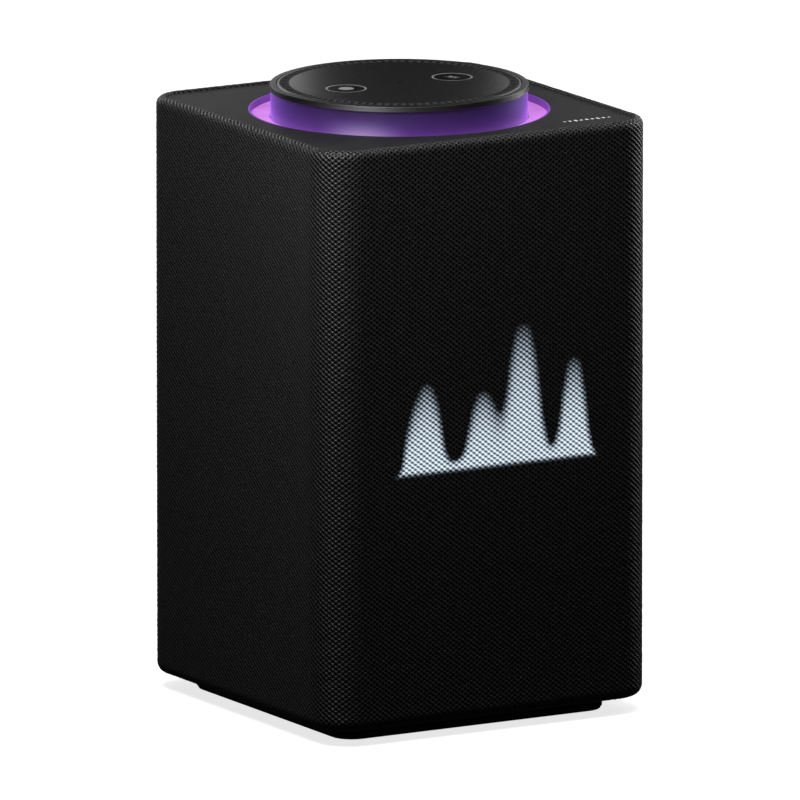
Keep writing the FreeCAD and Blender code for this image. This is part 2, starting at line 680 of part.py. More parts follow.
# ---------------------------------------------------------------- display and electronics
def display():
    board_y = BAFFLE_FACE - 2.8
    x0, z0 = -DISPLAY_W / 2, DISPLAY_BOTTOM
    board = box(x0 - 0.8, -x0 + 0.8, board_y, board_y + 1.2, z0 - 0.2, z0 + DISPLAY_H + 0.4)
    put("display_board", board)
    leds, cells = [], []
    wall = 0.5
    mask_y0, mask_y1 = board_y - 5.0, board_y - 1.0
    for col in range(LED_COLUMNS):
        for row in range(LED_ROWS):
            x, z = x0 + col * LED_PITCH, z0 + row * LED_PITCH
            mx, mz = x + LED_PITCH / 2, z + LED_PITCH / 2
            leds.append(box(mx - 0.8, mx + 0.8, board_y - 0.8, board_y, mz - 0.8, mz + 0.8))
            cells.append(
                box(
                    x + wall / 2,
                    x + LED_PITCH - wall / 2,
                    mask_y0 - 1,
                    mask_y1 + 1,
                    z + wall / 2,
                    z + LED_PITCH - wall / 2,
                )
            )
    put("display_leds", *leds)
    mask = box(x0 - 0.6, -x0 + 0.6, mask_y0, mask_y1, z0 - 0.6, z0 + DISPLAY_H + 0.6)
    put("display_mask", drilled(mask, cells))
    sheet = box(x0 - 0.6, -x0 + 0.6, mask_y0 - 0.5, mask_y0, z0 - 0.6, z0 + DISPLAY_H + 0.6)
    put("display_diffuser", sheet)


def electronics():
    face = BOARD_Y + BOARD_T
    board = box(-50, 50, BOARD_Y, face, PORT_BOTTOM + 1, 130)
    put("main_board", board)
    chips = [
        box(-12, 12, face, face + 2.0, 76, 100),  # processor under the heat sink
        box(16, 28, face, face + 1.2, 80, 92),
        box(-46, -34, face, face + 2.4, 104, 124),  # radio module
        box(-30, -20, face, face + 1.5, 44, 54),  # amplifiers
        box(-5, 5, face, face + 1.5, 44, 54),
    ]
    chips += [box(x, x + 8, face, face + 5.0, 44, 52) for x in (12, 22, 32)]  # output chokes
    capacitor = facing(rod(4.0, 0, 10.0), X_AXIS, -90, V(0, face, 64))
    for x in (-40, -30, 34, 44):
        c = capacitor.copy()
        c.translate(V(x, 0, 0))
        chips.append(c)
    put("board_components", *chips)
    sink_y = face + 2.0
    fins = [box(x, x + 1.2, sink_y + 2.0, sink_y + 11.0, 62, 112) for x in range(-24, 24, 4)]
    sink = box(-25, 25, sink_y, sink_y + 2.0, 62, 112).fuse(Part.makeCompound(fins)).removeSplitter()
    put("heat_sink", sink)
    sockets(face)
    cables()


def sockets(face):
    """The recessed socket panel and its four sockets."""
    half_h = (PORT_TOP - PORT_BOTTOM) / 2
    wall = 1.7

    def across(half_x, r, half_z, y0, y1):
        return facing(prism(half_x, r, 0, y1 - y0, half_z), X_AXIS, -90, V(0, y0, PORT_Z))

    panel = across(PORT_HALF - 0.2, PORT_R - 0.2, half_h - 0.2, PORT_FACE_Y - 2, HALF - 0.4)
    panel = panel.fuse(across(PORT_HALF + 2.0, PORT_R, half_h + 2.0, PORT_FACE_Y - 2, BAY_HALF))
    panel = panel.cut(across(PORT_HALF - wall, PORT_R - wall, half_h - wall, PORT_FACE_Y, HALF + 5))
    back, front = face, PORT_FACE_Y - 0.2
    depth = front - back

    def along(shape, x, y=back):
        return facing(shape, X_AXIS, -90, V(x, y, PORT_Z))

    places = {"power": -22.0, "video": -5.0, "network": 12.0, "audio": 25.5}
    power = along(prism(5.0, 0.6, 0, depth, 5.5), places["power"])
    power_bore = along(rod(2.75, 2.0, depth + 1), places["power"])
    pin = along(rod(1.0, 1.5, depth - 1.0), places["power"])
    put("power_socket", power.cut(power_bore).fuse(pin).removeSplitter())
    video = along(prism(7.6, 0.6, 0, depth, 3.1), places["video"])
    video_slot = along(prism(7.0, 0.6, 1.5, depth + 1, 2.3), places["video"])
    tongue = along(prism(5.8, 0.3, 1.0, depth - 0.8, 0.6), places["video"])
    put("video_socket", video.cut(video_slot).fuse(tongue).removeSplitter())
    network = along(prism(7.6, 0.4, 0, depth, 6.6), places["network"])
    network_slot = along(prism(5.9, 0.3, 2.0, depth + 1, 4.2), places["network"])
    put("network_socket", network.cut(network_slot))
    audio = along(prism(4.0, 0.6, 0, depth, 4.0), places["audio"])
    audio_bore = along(rod(1.8, 1.0, depth + 1), places["audio"])
    put("audio_socket", audio.cut(audio_bore))

    outlines = [(5.0, 5.5, 0.6, "power"), (7.6, 3.1, 0.6, "video")]
    outlines += [(7.6, 6.6, 0.4, "network"), (4.0, 4.0, 0.6, "audio")]
    cuts = []
    for half_x, half_z, r, name in outlines:
        hole = prism(half_x + 0.15, r, 0, 6, half_z + 0.15)
        cuts.append(facing(hole, X_AXIS, -90, V(places[name], PORT_FACE_Y - 4, PORT_Z)))
    put("socket_panel", drilled(panel, cuts))


def cables():
    """Flat flexible cables inside: dial board to main board, and display to main board."""
    half_w = CABLE_W / 2
    y = CAB_BACK + 2.0
    bend_y = 20.0
    shelf = CAB_TOP + CABLE_T
    down = box(-half_w, half_w, y, y + CABLE_T, 124, shelf)
    over = box(-half_w, half_w, bend_y, y, CAB_TOP, shelf)
    rise = box(-half_w, half_w, bend_y, bend_y + CABLE_T, shelf, DIAL_BOARD_Z)
    dial_cable = down.fuse(over).fuse(rise).removeSplitter()
    side_x = CAB_HALF + 1.0
    z0, z1 = 120.0, 120.0 + CABLE_W
    y0 = BAFFLE_FACE - 2.4
    y1 = CAB_BACK + 3.0
    front = box(DISPLAY_W / 2 + 0.8, side_x, y0, y0 + CABLE_T, z0, z1)
    flank = box(side_x, side_x + CABLE_T, y0, y1, z0, z1)
    back = box(50.0, side_x, y1 - CABLE_T, y1, z0, z1)
    put("flat_cables", dial_cable, front.fuse(flank).fuse(back).removeSplitter())


def case_screws(base_screws, tub):
    """Screws of the cabinet, woofer and base, and the holes that they cut in what they hold."""
    screws = list(base_screws)
    for side in (-1, 1):
        for z in (104.0, 150.0, 201.0):
            head = rod(1.8, 0, 1.4)
            shank = rod(0.9, -12.0, 0)
            screws.append(to_front(head.fuse(shank).removeSplitter(), side * (CAB_HALF - 1.9), z))
    radius = WOOFER_R - 2.4
    screw = rod(2.3, 3.0, 4.6, x=radius).fuse(rod(1.5, -3.9, 3.0, x=radius)).removeSplitter()
    screws += [to_front(s, 0, WOOFER_Z) for s in around(screw, 4, 45)]
    threads = Part.makeCompound(screws)
    for name in ("front_baffle", "cabinet_gasket", "base_tray"):
        parts[name] = parts[name].cut(threads)
    put("cabinet_tub", tub.cut(threads))
    put("case_screws", *screws)


sleeve()
base_screws = base()
top()
dial()
tub = cabinet()
woofer()
midranges()
tweeters()
radiators()
display()
electronics()
case_screws(base_screws, tub)

os.makedirs("parts", exist_ok=True)
for old in os.listdir("parts"):
    os.remove(os.path.join("parts", old))
for name, shape in sorted(parts.items()):
    valid = shape.isValid() and all(s.isValid() and s.Volume > 0 for s in shape.Solids)
    state = "ok" if valid else "INVALID"
    print(f"{name:24} solids {len(shape.Solids):3}  volume {shape.Volume / 1000:8.2f} cm3  {state}")
    shape.exportStep(f"parts/{name}.step")
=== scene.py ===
"""Looks of the tower smart speaker: knitted sleeve, lit display, glowing well and satin dial.

Metres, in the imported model's frame: +Z up, the display faces -Y.
"""

import json
import math

import bmesh
import bpy
import numpy as np
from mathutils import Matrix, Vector


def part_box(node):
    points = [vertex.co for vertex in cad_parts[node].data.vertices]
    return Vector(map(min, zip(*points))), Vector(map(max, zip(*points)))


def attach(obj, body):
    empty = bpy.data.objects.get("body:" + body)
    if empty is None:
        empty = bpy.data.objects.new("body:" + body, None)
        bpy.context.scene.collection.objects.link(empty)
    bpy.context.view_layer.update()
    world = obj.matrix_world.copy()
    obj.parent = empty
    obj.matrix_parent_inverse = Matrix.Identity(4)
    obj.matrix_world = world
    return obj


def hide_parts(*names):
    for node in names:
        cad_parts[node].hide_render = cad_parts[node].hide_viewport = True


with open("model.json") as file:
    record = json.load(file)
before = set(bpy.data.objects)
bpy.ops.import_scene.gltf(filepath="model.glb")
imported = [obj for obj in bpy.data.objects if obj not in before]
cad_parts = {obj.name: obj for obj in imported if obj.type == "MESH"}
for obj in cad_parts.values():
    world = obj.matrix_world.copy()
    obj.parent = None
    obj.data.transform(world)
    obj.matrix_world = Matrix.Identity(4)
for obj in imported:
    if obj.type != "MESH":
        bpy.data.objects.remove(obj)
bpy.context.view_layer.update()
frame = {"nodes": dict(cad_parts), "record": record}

MM = 0.001
NODES = frame["nodes"]

# ---------------------------------------------------------------- sizes, read from the frame
SLEEVE_LOW, SLEEVE_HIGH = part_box("fabric_sleeve")
HALF = SLEEVE_HIGH.x
CORNER_R = 15.0 * MM
TOP_ROLL_R = 2.8 * MM
BOTTOM_ROLL_R = 4.0 * MM
PLATE_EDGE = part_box("top_plate")[1].x
BASE_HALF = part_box("base_tray")[1].x
PORT_HALF, PORT_BOTTOM, PORT_TOP, PORT_R = 33.0 * MM, 13.0 * MM, 35.0 * MM, 4.0 * MM
HEM_DEPTH = 1.4 * MM

# The photograph has almost no perspective, so the camera stands far off with a long lens. It aims
# beside the middle of the body by these millimetres.
CAMERA_AZIMUTH, CAMERA_ELEVATION = -30.175, 11.486
CAMERA_DISTANCE, CAMERA_REACH = 10.503, 100
CAMERA_LENS, CAMERA_SENSOR = 1262.9, 36
BODY_MIDDLE = 0.118
AIM_RIGHT, AIM_DOWN = 0.308, 4.082

# The knit's holes stand in staggered rows, two to each cell of this size.
CELL_W, CELL_H = 2.527 * MM, 1.905 * MM
RELIEF, RELIEF_SCATTER = 0.10 * MM, 0.5
THREAD_HEIGHT = 0.25 * MM

# Outline of the lit shape behind the front fabric: (x, height) in millimetres
SPECTRUM = [
    (-43.0, 101.4),
    (-40.9, 102.0),
    (-37.7, 116.6),
    (-32.1, 132.3),
    (-29.2, 135.3),
    (-26.0, 131.5),
    (-23.0, 119.8),
    (-20.9, 108.8),
    (-18.0, 105.2),
    (-14.8, 106.0),
    (-10.7, 117.3),
    (-7.9, 126.8),
    (-5.0, 130.0),
    (-1.4, 127.0),
    (2.5, 122.0),
    (4.7, 125.8),
    (8.2, 146.0),
    (12.5, 154.0),
    (16.5, 147.0),
    (18.9, 133.3),
    (21.9, 113.5),
    (24.7, 107.2),
    (26.8, 110.0),
    (30.7, 131.0),
    (34.4, 139.2),
    (38.1, 130.0),
    (41.2, 109.0),
    (43.6, 102.0),
    (45.2, 101.4),
]
SPECTRUM_BASE = 101.4
SPECTRUM_TOP = 160.0
SPECTRUM_BLUR = 0.7 * MM
# Powers that shape how the light fades with height, and how evenly it fills its outline
SPECTRUM_FADE, SPECTRUM_EASE = 3.3, 0.69

# Band of the disc round the sound slots: radii, and how far its edges fade
SLOT_BAND_IN, SLOT_BAND_OUT, SLOT_BAND_FADE = 41.0 * MM, 45.0 * MM, 0.5 * MM

# Compass azimuth in degrees of the painted highlight on the dial's skirt
PAINTED_HIGHLIGHT_AZIMUTH = -47
WORLD_LIGHT = 0.014
OVERHEAD_LIGHT = 0.62
FLOOR_SIZE, FLOOR_GLOW = 25.0, (0.78, 0.78, 0.78, 1.0)

# Lamps of the studio: azimuth and elevation in degrees, distance, width, height and radiance
SOFTBOXES = {
    "key": (-61, 45, 0.36, 0.18, 0.18, 17.0),
    "edge_right": (98, 20, 0.5, 0.14, 0.34, 5.2),
    "edge_left": (188, 17, 0.5, 0.16, 0.20, 3.0),
    "fill": (5, 52, 0.45, 0.30, 0.20, 2.0),
}
# Cards for the ring's steep rim, seen only in reflections: azimuth, width and radiance
RIM_CARDS = {"rim_front": (-58, 0.14, 2.6), "rim_right": (100, 0.46, 2.6)}
# Cards behind the speaker that the disc mirrors: how far to the right they stand, and radiance
DISC_CARDS = {"disc_left": (-0.108, 0.95), "disc_right": (0.112, 0.72)}

# Printed bars on the top plate
BARS_AT = (48.9 * MM, -55.0 * MM)
BAR_LENGTHS = (0.8, 1.5, 2.2, 1.3, 1.9, 1.2, 2.2, 1.5, 0.8)
BAR_PITCH, BAR_WIDTH = 2.4 * MM, 1.0 * MM


# ---------------------------------------------------------------- material nodes
class Shader:
    """A material and short calls that add nodes to it. A socket is linked and a plain value is set."""

    def __init__(self, name):
        self.material = bpy.data.materials.new(name)
        self.material.use_nodes = True
        self.tree = self.material.node_tree
        self.surface = self.tree.nodes["Principled BSDF"]
        self.place = self.node("ShaderNodeTexCoord").outputs["Object"]

    def feed(self, socket, value):
        if isinstance(value, bpy.types.NodeSocket):
            self.tree.links.new(value, socket)
        else:
            socket.default_value = value

    def set(self, **sockets):
        """Sets or links the surface's sockets. Base_Color stands for Base Color, and so on."""
        for name, value in sockets.items():
            self.feed(self.surface.inputs[name.replace("_", " ")], value)

    def node(self, kind, *values, **settings):
        made = self.tree.nodes.new(kind)
        for name, value in settings.items():
            setattr(made, name, value)
        for socket, value in zip(made.inputs, values):
            if value is not None:
                self.feed(socket, value)
        return made

    def math(self, operation, *values, clamp=False):
        return self.node("ShaderNodeMath", *values, operation=operation, use_clamp=clamp).outputs[0]

    def axes(self, vector=None):
        return self.node("ShaderNodeSeparateXYZ", vector or self.place).outputs

    def radius(self):
        """Distance from the speaker's upright axis."""
        x, y, _ = self.axes()
        return self.math("SQRT", self.math("ADD", self.math("MULTIPLY", x, x), self.math("MULTIPLY", y, y)))

    def ramp(self, value, low, high, to_low=0.0, to_high=1.0, smooth=True):
        kind = "SMOOTHSTEP" if smooth else "LINEAR"
        made = self.node("ShaderNodeMapRange", value, low, high, to_low, to_high, interpolation_type=kind)
        return made.outputs["Result"]

    def mix(self, share, first, second):
        made = self.node("ShaderNodeMix", data_type="RGBA")
        self.feed(made.inputs["Factor"], share)
        self.feed(made.inputs["A"], rgba(first))
        self.feed(made.inputs["B"], rgba(second))
        return made.outputs["Result"]

    def stretched(self, scale):
        made = self.node("ShaderNodeVectorMath", self.place, operation="MULTIPLY")
        made.inputs[1].default_value = scale
        return made.outputs[0]

    def noise(self, size, detail=3.0, rough=0.5, vector=None):
        """Noise from 0 to 1 with features of about this size in metres."""
        made = self.node("ShaderNodeTexNoise")
        self.feed(made.inputs["Vector"], vector or self.place)
        made.inputs["Scale"].default_value = 1 / size
        made.inputs["Detail"].default_value = detail
        made.inputs["Roughness"].default_value = rough
        return made.outputs["Fac"]

    def tilt(self, uv_map, slope_u, slope_v):
        """The normal of a surface that rises by these slopes along the two directions of a UV map."""
        lean = [self.math("MULTIPLY_ADD", slope, -0.5, 0.5) for slope in (slope_u, slope_v)]
        colour = self.node("ShaderNodeCombineXYZ", *lean, 1.0)
        made = self.node("ShaderNodeNormalMap", space="TANGENT", uv_map=uv_map)
        self.feed(made.inputs["Color"], colour.outputs[0])
        return made.outputs["Normal"]

    def bump(self, height, depth, normal=None):
        made = self.node("ShaderNodeBump")
        made.inputs["Distance"].default_value = depth
        self.feed(made.inputs["Height"], height)
        if normal:
            self.feed(made.inputs["Normal"], normal)
        self.feed(self.surface.inputs["Normal"], made.outputs["Normal"])


def rgba(value):
    """A colour with its alpha, or the socket that it came as."""
    if isinstance(value, bpy.types.NodeSocket):
        return value
    return (*value[:3], 1.0)


def finish_of(name, colour, rough, metal=0.0, grain=0.35, depth=0.012, spread=0.12, tint=0.18, along=None,
              shine=0.5):
    """A moulded, painted or rolled surface: fine grain, uneven gloss and a little colour variation.

    grain and depth are in millimetres. along stretches the grain, for brushed and drawn metal."""
    made = Shader(name)
    place = made.stretched(along) if along else made.place
    fine = made.noise(grain * MM, detail=4.0, vector=place)
    wide = made.noise(9 * MM, detail=2.0)
    shade = made.ramp(wide, 0.3, 0.7, smooth=False)
    dark = [c * (1 - tint) for c in colour]
    light = [min(1.0, c * (1 + tint)) for c in colour]
    made.set(
        Base_Color=made.mix(shade, dark, light),
        Roughness=made.ramp(fine, 0.25, 0.75, rough - spread / 2, rough + spread / 2, smooth=False),
        Metallic=metal,
        Specular_IOR_Level=shine,
    )
    made.bump(fine, depth * MM)
    return made


# ---------------------------------------------------------------- knit
def knit_material():
    """Black knitted mesh of crossing threads, with the display shining through its holes."""
    made = Shader("knit")
    weave = made.node("ShaderNodeUVMap", uv_map="weave").outputs["UV"]
    across, down, _ = made.axes(weave)
    drift = made.ramp(made.noise(5 * MM, detail=2.0), 0.2, 0.8, -0.09, 0.09, smooth=False)
    falling = made.math("ADD", made.math("SUBTRACT", across, down), drift)
    rising = made.math("SUBTRACT", made.math("ADD", across, down), drift)
    open_f, thread_f, steep_f = thread_wave(made, falling)
    open_r, thread_r, steep_r = thread_wave(made, rising)
    sideways = made.math("SINE", made.math("MULTIPLY", across, 2 * math.pi))
    sideways = made.math("MULTIPLY", sideways, sideways)

    # How proud each family of threads stands, face by face, and how bright the painted highlight on its
    # crests is. It is set for looks, and not by how knit behaves.
    x, y, _ = made.axes()
    turn = made.math("SUBTRACT", y, x)
    proud_r = made.ramp(turn, 2 * MM, 24 * MM, 0.85, 0.25)
    proud_f = made.ramp(made.math("ABSOLUTE", turn), 8 * MM, 20 * MM, 0.75, 1.1)

    fuzz = made.noise(0.30 * MM, detail=3.0, rough=0.6)
    uneven = made.ramp(made.noise(0.9 * MM, detail=2.0), 0.25, 0.75, 0.4, 0.9, smooth=False)
    uneven = made.math("MULTIPLY", uneven, proud_r)
    steep_r = made.math("MULTIPLY", steep_r, uneven)
    steep_f = made.math("MULTIPLY", steep_f, proud_f)
    slope = 2 * math.pi * THREAD_HEIGHT
    slope_u = made.math("MULTIPLY", made.math("ADD", steep_r, steep_f), slope / CELL_W)
    slope_v = made.math("MULTIPLY", made.math("SUBTRACT", steep_r, steep_f), slope / CELL_H)
    ridge = made.math(
        "MAXIMUM", made.math("MULTIPLY", thread_f, proud_f), made.math("MULTIPLY", thread_r, uneven)
    )
    ridge = made.math("MULTIPLY_ADD", sideways, 0.45, ridge)
    # A painted highlight: the crests of the threads are painted brighter than the rest of the yarn.
    crest_highlight = made.ramp(made.math("ADD", ridge, made.ramp(fuzz, 0.2, 0.8, -0.2, 0.2)), 0.5, 1.3)

    gap = made.math("MULTIPLY", made.math("ADD", open_f, open_r), 0.5)
    gap = made.math("SUBTRACT", gap, made.math("MULTIPLY", sideways, 0.8))
    gap = made.math("ADD", gap, made.ramp(fuzz, 0.2, 0.8, 0.15, -0.15, smooth=False))
    thread = made.ramp(gap, 0.55, -0.05)

    yarn_and_highlights = made.mix(made.ramp(fuzz, 0.35, 0.75), (0.0024, 0.0024, 0.0025), (0.0056, 0.0056, 0.0058))
    # Painted highlights go into the yarn's colour: first the bright thread crests, then random glints.
    yarn_and_highlights = made.mix(crest_highlight, yarn_and_highlights, (0.016, 0.016, 0.0163))
    glint = made.ramp(made.noise(0.55 * MM, detail=1.0), 0.70, 0.80)
    yarn_and_highlights = made.mix(glint, yarn_and_highlights, (0.060, 0.060, 0.062))
    # The holes are painted near black, for the dark frame behind them and as painted shade inside.
    made.set(
        Base_Color=made.mix(thread, (0.0004, 0.0004, 0.0005), yarn_and_highlights),
        Roughness=made.ramp(thread, 0.0, 1.0, 0.85, 0.48, smooth=False),
        Specular_IOR_Level=0.5,
        Specular_Tint=made.mix(thread, (0.0, 0.0, 0.0), (1.0, 1.0, 1.0)),
        Sheen_Weight=0.02,
        Sheen_Roughness=0.4,
    )
    made.bump(fuzz, 0.06 * MM, made.tilt("weave", slope_u, slope_v))

    light = display_light(made)
    hole = made.math("MULTIPLY_ADD", open_f, 0.42, made.math("MULTIPLY", open_r, 0.30))
    hole = made.math("SUBTRACT", hole, made.math("MULTIPLY", sideways, 0.15))
    hole = made.math("ADD", hole, made.ramp(fuzz, 0.2, 0.8, -0.10, 0.10, smooth=False))
    hole = made.math("ADD", hole, made.math("MULTIPLY_ADD", light, 0.45, 0.28))
    lit = made.math("MULTIPLY", light, made.ramp(hole, 0.0, 1.0))
    made.set(Emission_Color=made.mix(lit, (0.50, 0.64, 0.80), (0.80, 0.91, 1.0)), Emission_Strength=lit)
    return made


def thread_wave(made, phase):
    """One family of threads: how open the knit is, the thread's height, and the slope of that height."""
    angle = made.math("MULTIPLY", phase, 2 * math.pi)
    opening = made.math("COSINE", angle)
    half_way = made.math("MULTIPLY_ADD", opening, -0.5, 0.5)
    height = made.math("MULTIPLY", half_way, half_way)
    steepness = made.math("MULTIPLY", half_way, made.math("SINE", angle))
    return opening, height, steepness


def display_light(made):
    """How brightly the display lights each point of the front fabric, from 0 to 1."""
    x, y, z = made.axes()
    low, high = SPECTRUM[0][0] * MM, SPECTRUM[-1][0] * MM
    level = made.math("SUBTRACT", z, SPECTRUM_BASE * MM)
    total = None
    for shift in (-SPECTRUM_BLUR, 0.0, SPECTRUM_BLUR):
        height = made.math("MAXIMUM", spectrum_height(made, made.math("ADD", x, shift), low, high), 0.2 * MM)
        climb = made.math("DIVIDE", level, height, clamp=True)
        share = made.math("SUBTRACT", 1.0, made.math("POWER", climb, SPECTRUM_FADE))
        total = share if total is None else made.math("ADD", total, share)
    light = made.math("POWER", made.math("DIVIDE", total, 3.0), SPECTRUM_EASE)
    above_base = made.ramp(level, -1.4 * MM, 1.2 * MM)
    front = made.math("LESS_THAN", y, -HALF + 3 * MM)
    ends = made.math("MULTIPLY", made.ramp(x, low, low + 2 * MM), made.ramp(x, high, high - 2 * MM))
    light = made.math("MULTIPLY", light, above_base)
    return made.math("MULTIPLY", made.math("MULTIPLY", light, ends), front)


def spectrum_height(made, x, low, high):
    curve = made.node("ShaderNodeFloatCurve")
    curve.inputs["Factor"].default_value = 1.0
    made.feed(curve.inputs["Value"], made.ramp(x, low, high, smooth=False))
    line = curve.mapping.curves[0]
    while len(line.points) < len(SPECTRUM):
        line.points.new(0.5, 0.5)
    span = SPECTRUM_TOP - SPECTRUM_BASE
    for point, (place, top) in zip(line.points, SPECTRUM):
        point.location = ((place * MM - low) / (high - low), (top - SPECTRUM_BASE) / span)
    curve.mapping.update()
    return made.math("MULTIPLY", curve.outputs["Value"], span * MM)


def sleeve_profile():
    """(distance in from the body's side, height) down the sleeve, from the tucked rim to the base."""
    top, bottom = SLEEVE_HIGH.z, SLEEVE_LOW.z
    rim_in = HALF - PLATE_EDGE - 0.1 * MM
    inner_r = 0.5 * MM
    points = [(rim_in, top - 1.6 * MM), (rim_in, top - inner_r)]
    flat = rim_in - inner_r
    points += [
        (flat + inner_r * math.cos(t), top - inner_r + inner_r * math.sin(t)) for t in (0.5, 1.1)
    ]
    for k in range(5):
        t = k / 4 * math.pi / 2
        points.append((TOP_ROLL_R * (1 - math.sin(t)), top - TOP_ROLL_R * (1 - math.cos(t))))
    side_top, side_bottom = points[-1][1], bottom + BOTTOM_ROLL_R
    rows = round((side_top - side_bottom) / (CELL_H / 2))
    step = (side_top - side_bottom) / rows
    points += [(0.0, side_top - step * k) for k in range(1, rows)]
    for k in range(6):
        t = k / 5 * math.pi / 2
        points.append((BOTTOM_ROLL_R * (1 - math.cos(t)), side_bottom - BOTTOM_ROLL_R * math.sin(t)))
    under = HALF - BASE_HALF - 0.7 * MM
    reach = under - BOTTOM_ROLL_R
    points += [(BOTTOM_ROLL_R + reach * k / 2, bottom) for k in (1, 2)]
    return points


def around_body(share):
    """The point and outward direction at this share of the way round the rounded square."""
    straight = 2 * (HALF - CORNER_R)
    arc = math.pi / 2 * CORNER_R
    side, along = divmod(share * 4, 1)
    along *= straight + arc
    if along < straight:
        place = Vector((along - straight / 2, -HALF))
        out = Vector((0, -1))
    else:
        t = (along - straight) / CORNER_R
        out = Vector((math.sin(t), -math.cos(t)))
        place = Vector((straight / 2, -straight / 2)) + out * CORNER_R
    angle = side * math.pi / 2
    turn = np.array([[math.cos(angle), -math.sin(angle)], [math.sin(angle), math.cos(angle)]])
    return turn @ place, turn @ out


def perimeter():
    return 8 * (HALF - CORNER_R) + 2 * math.pi * CORNER_R


def port_distance(x, z):
    """Distance outside the socket window's rounded outline, negative inside it."""
    cz, half_h = (PORT_TOP + PORT_BOTTOM) / 2, (PORT_TOP - PORT_BOTTOM) / 2
    dx = abs(x) - (PORT_HALF - PORT_R)
    dz = abs(z - cz) - (half_h - PORT_R)
    return math.hypot(max(dx, 0), max(dz, 0)) + min(max(dx, dz), 0) - PORT_R


def sleeve():
    """The stretched knit, one vertex for each crossing and each hole of its mesh."""
    profile = sleeve_profile()
    columns = 2 * round(perimeter() / CELL_W)
    rng = np.random.default_rng(7)
    mesh = bmesh.new()
    weave = mesh.loops.layers.uv.new("weave")
    path = [0.0]
    for (d0, z0), (d1, z1) in zip(profile, profile[1:]):
        path.append(path[-1] + math.hypot(d1 - d0, z1 - z0))
    slopes = []
    for k in range(len(profile)):
        before, after = profile[max(k - 1, 0)], profile[min(k + 1, len(profile) - 1)]
        run, fall = after[0] - before[0], before[1] - after[1]
        size = math.hypot(run, fall)
        slopes.append((fall / size, run / size))
    straight_row = path[next(k for k, (d, _) in enumerate(profile) if d == 0.0)]
    grid = []
    for i in range(columns):
        place, out = around_body(i / columns)
        column = []
        for j, (inward, z) in enumerate(profile):
            rows_down = (path[j] - straight_row) / CELL_H
            lift = -math.cos(math.pi * i) * math.cos(2 * math.pi * rows_down)
            lift = (lift + RELIEF_SCATTER * rng.uniform(-1, 1)) * RELIEF
            outward, upward = slopes[j]
            flat = place + out * (lift * outward - inward)
            vertex = mesh.verts.new((flat[0], flat[1], z - lift * upward))
            column.append(vertex)
        grid.append(column)
    for i in range(columns):
        for j in range(len(profile) - 1):
            corners = [(i, j + 1), (i + 1, j + 1), (i + 1, j), (i, j)]
            face = mesh.faces.new([grid[a % columns][b] for a, b in corners])
            for loop, (a, b) in zip(face.loops, corners):
                loop[weave].uv = (a / 2, (path[b] - straight_row) / CELL_H)
    cut_port(mesh)
    return finished_mesh(mesh, "sleeve_knit")


def cut_port(mesh):
    """Opens the socket window and turns its edge in as a hem."""
    inside = [
        f
        for f in mesh.faces
        if (c := f.calc_center_median()).y > HALF - MM and port_distance(c.x, c.z) < 0
    ]
    bmesh.ops.delete(mesh, geom=inside, context="FACES")
    rim = [
        e
        for e in mesh.edges
        if e.is_boundary and all(v.co.y > HALF - MM and abs(v.co.x) < HALF / 1.5 for v in e.verts)
        and all(PORT_BOTTOM - 2 * MM < v.co.z < PORT_TOP + 2 * MM for v in e.verts)
    ]
    tiny = 0.01 * MM
    for v in {v for e in rim for v in e.verts}:
        for _ in range(3):
            off = port_distance(v.co.x, v.co.z)
            slope_x = (port_distance(v.co.x + tiny, v.co.z) - off) / tiny
            slope_z = (port_distance(v.co.x, v.co.z + tiny) - off) / tiny
            v.co.x -= off * slope_x
            v.co.z -= off * slope_z
        v.co.y = HALF - 0.05 * MM
    made = bmesh.ops.extrude_edge_only(mesh, edges=rim)
    for v in made["geom"]:
        if isinstance(v, bmesh.types.BMVert):
            v.co.y -= HEM_DEPTH


def finished_mesh(mesh, name, smooth=True):
    data = bpy.data.meshes.new(name)
    bmesh.ops.recalc_face_normals(mesh, faces=mesh.faces)
    mesh.to_mesh(data)
    mesh.free()
    if smooth:
        data.shade_smooth()
    made = bpy.data.objects.new(name, data)
    bpy.context.scene.collection.objects.link(made)
    return made


# ---------------------------------------------------------------- dial, well and plate
def disc_material():
    """Satin plastic with faint rings. For looks, it is matt round the sound slots, and below its top face it
    is painted black as painted shade in the slots and down its edge.
    """
    made = Shader("disc_satin")
    _, _, z = made.axes()
    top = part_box("top_disc")[1].z
    recess_shade = made.ramp(z, top - 0.005 * MM, top - 0.03 * MM)
    radius = made.radius()
    rings = made.node("ShaderNodeCombineXYZ", radius)
    fine = made.noise(0.18 * MM, detail=2.0, vector=rings.outputs[0])
    speck = made.noise(0.22 * MM, detail=3.0)
    both = made.math("ADD", made.math("MULTIPLY", fine, 0.5), made.math("MULTIPLY", speck, 0.5))
    slotted = made.math(
        "MULTIPLY",
        made.ramp(radius, SLOT_BAND_IN, SLOT_BAND_IN + SLOT_BAND_FADE),
        made.ramp(radius, SLOT_BAND_OUT, SLOT_BAND_OUT - SLOT_BAND_FADE),
    )
    face = made.mix(made.ramp(both, 0.35, 0.65), (0.005, 0.005, 0.005), (0.009, 0.009, 0.009))
    gloss = made.ramp(both, 0.3, 0.7, 0.24, 0.31, smooth=False)
    # Below its top face the disc is painted near black: painted shade in the slots and down its edge.
    made.set(
        Base_Color=made.mix(recess_shade, face, (0.0005, 0.0005, 0.0005)),
        Roughness=made.math("MULTIPLY_ADD", slotted, 0.55, gloss),
        Specular_IOR_Level=0.4,
    )
    made.bump(both, 0.006 * MM)
    return made


def plate_material():
    made = Shader("plate_satin")
    speck = made.noise(0.2 * MM, detail=3.0)
    wide = made.noise(12 * MM, detail=2.0)
    made.set(
        Base_Color=made.mix(made.ramp(wide, 0.3, 0.7), (0.007, 0.007, 0.007), (0.010, 0.010, 0.010)),
        Roughness=made.ramp(speck, 0.25, 0.75, 0.50, 0.60, smooth=False),
        Specular_IOR_Level=0.17,
    )
    made.bump(speck, 0.010 * MM)
    return made


